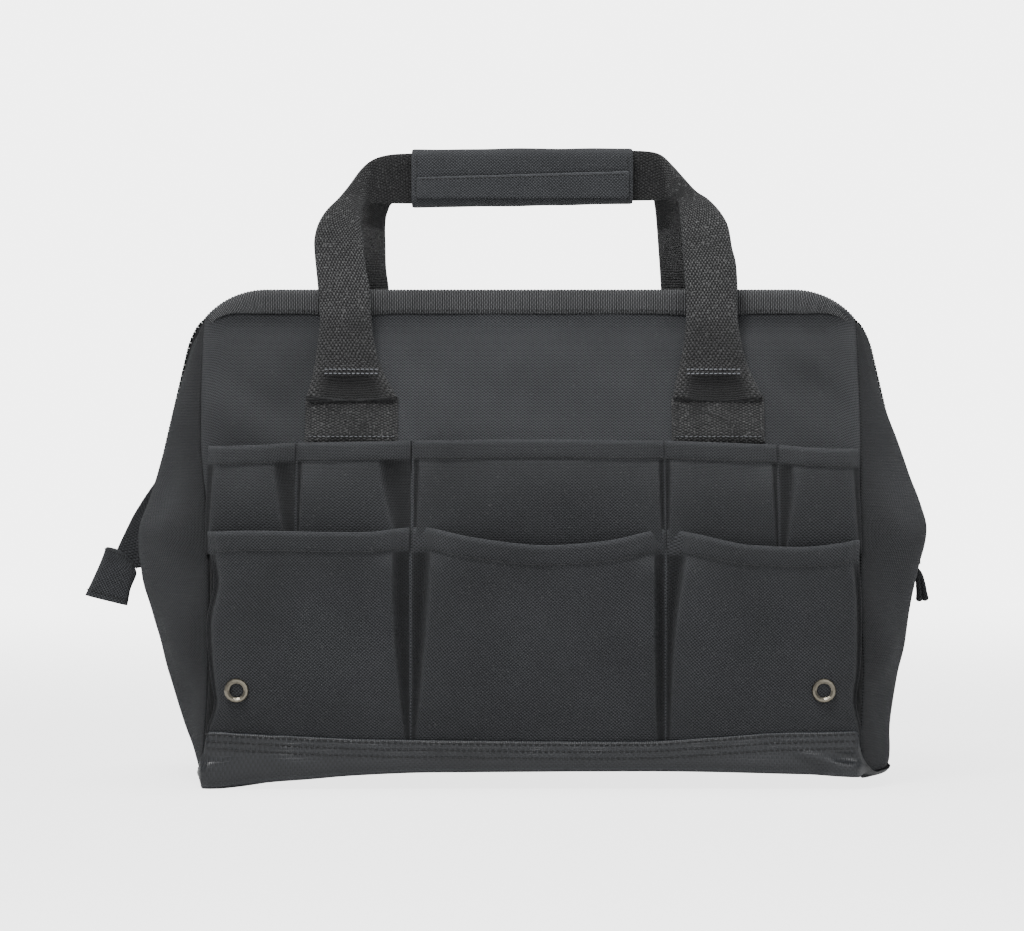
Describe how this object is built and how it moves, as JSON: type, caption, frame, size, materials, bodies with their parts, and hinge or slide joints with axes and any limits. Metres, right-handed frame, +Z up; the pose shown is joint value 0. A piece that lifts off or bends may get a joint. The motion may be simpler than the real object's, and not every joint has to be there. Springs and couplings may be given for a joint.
{
  "type": "tool bag",
  "caption": "Wide-mouth fabric tool bag with a framed zip mouth, webbing handles held by a grip wrap, outside pockets in two rows and a coated base.",
  "frame": {"origin": "The middle of the base, on the surface that the bag stands on.", "axes": "+X is the bag's length to the picture's right, +Y points to the rear, away from the camera, +Z is up."},
  "size_m": [0.432, 0.2034, 0.3275],
  "materials": {
    "charcoal_cloth": "matte plain weave",
    "black_webbing": "matte ribbed webbing",
    "coated_cloth": "satin coated",
    "zip_tape": "matte",
    "frame_steel": "satin",
    "pin_steel": "satin",
    "grommet_nickel": "polished warm nickel",
    "black_metal": "satin black",
    "base_board": "matte"
  },
  "bodies": {
    "root": {"base_cover": "coated_cloth", "base_board": "base_board", "front_lower_panel": "charcoal_cloth", "rear_lower_panel": "charcoal_cloth", "left_lower_gusset": "charcoal_cloth", "right_lower_gusset": "charcoal_cloth", "front_lower_pocket_left": "charcoal_cloth", "front_lower_pocket_middle": "charcoal_cloth", "front_lower_pocket_right": "charcoal_cloth", "front_grommet_left": "grommet_nickel", "front_grommet_right": "grommet_nickel", "rear_lower_pocket_left": "charcoal_cloth", "rear_lower_pocket_middle": "charcoal_cloth", "rear_lower_pocket_right": "charcoal_cloth", "rear_grommet_left": "grommet_nickel", "rear_grommet_right": "grommet_nickel", "hinge_pin_left": "pin_steel", "hinge_pin_right": "pin_steel", "hinge_patch_left": "black_webbing", "hinge_patch_right": "black_webbing", "zip_end_right": "zip_tape"},
    "front_mouth": {"front_upper_panel": "charcoal_cloth", "front_upper_pocket_outer_left": "charcoal_cloth", "front_upper_pocket_left": "charcoal_cloth", "front_upper_pocket_middle": "charcoal_cloth", "front_upper_pocket_right": "charcoal_cloth", "front_upper_pocket_outer_right": "charcoal_cloth", "front_top_band": "black_webbing", "front_zip_tape": "zip_tape", "front_frame": "frame_steel", "front_left_upper_gusset": "charcoal_cloth", "front_right_upper_gusset": "charcoal_cloth", "front_handle_foot_left": "black_webbing", "front_handle_foot_right": "black_webbing"},
    "rear_mouth": {"rear_upper_panel": "charcoal_cloth", "rear_upper_pocket_outer_left": "charcoal_cloth", "rear_upper_pocket_left": "charcoal_cloth", "rear_upper_pocket_middle": "charcoal_cloth", "rear_upper_pocket_right": "charcoal_cloth", "rear_upper_pocket_outer_right": "charcoal_cloth", "rear_top_band": "black_webbing", "rear_zip_tape": "zip_tape", "rear_frame": "frame_steel", "rear_left_upper_gusset": "charcoal_cloth", "rear_right_upper_gusset": "charcoal_cloth", "rear_handle_foot_left": "black_webbing", "rear_handle_foot_right": "black_webbing"},
    "front_grip": {"front_handle": "black_webbing", "grip_wrap": "charcoal_cloth"},
    "rear_grip": {"rear_handle": "black_webbing"},
    "grip_leaf": {"grip_flap": "charcoal_cloth"},
    "slider": {"zip_slider": "black_metal"},
    "pull": {"zip_pull": "black_metal"},
    "tail": {"zip_tail": "zip_tape", "zip_tail_tab": "charcoal_cloth"}
  },
  "joints": [
    {"name": "front_mouth_swing", "type": "hinge", "parent": "root", "child": "front_mouth", "pos_m": [0, 0, 0.1345], "axis": [1, 0, 0], "range_deg": [0, 50]},
    {"name": "rear_mouth_swing", "type": "hinge", "parent": "root", "child": "rear_mouth", "pos_m": [0, 0, 0.1345], "axis": [-1, 0, 0], "range_deg": [0, 50]},
    {"name": "front_handle_swing", "type": "hinge", "parent": "front_mouth", "child": "front_grip", "pos_m": [0, -0.04341, 0.21093], "axis": [1, 0, 0], "range_deg": [0, 75]},
    {"name": "rear_handle_swing", "type": "hinge", "parent": "rear_mouth", "child": "rear_grip", "pos_m": [0, 0.04341, 0.21093], "axis": [-1, 0, 0], "range_deg": [0, 75]},
    {"name": "grip_flap_swing", "type": "hinge", "parent": "front_grip", "child": "grip_leaf", "pos_m": [0, -0.01777, 0.30381], "axis": [1, 0, 0], "range_deg": [0, 110]},
    {"name": "zip_slide", "type": "slide", "parent": "root", "child": "slider", "axis": [0, 0, 1], "range_m": [0, 0.02]},
    {"name": "zip_pull_swing", "type": "hinge", "parent": "slider", "child": "pull", "pos_m": [0.2038, 0, 0.1105], "axis": [0, -1, 0], "range_deg": [0, 90]},
    {"name": "zip_tail_swing", "type": "hinge", "parent": "root", "child": "tail", "pos_m": [-0.1992, 0, 0.152], "axis": [0, 1, 0], "range_deg": [0, 60]}
  ]
}
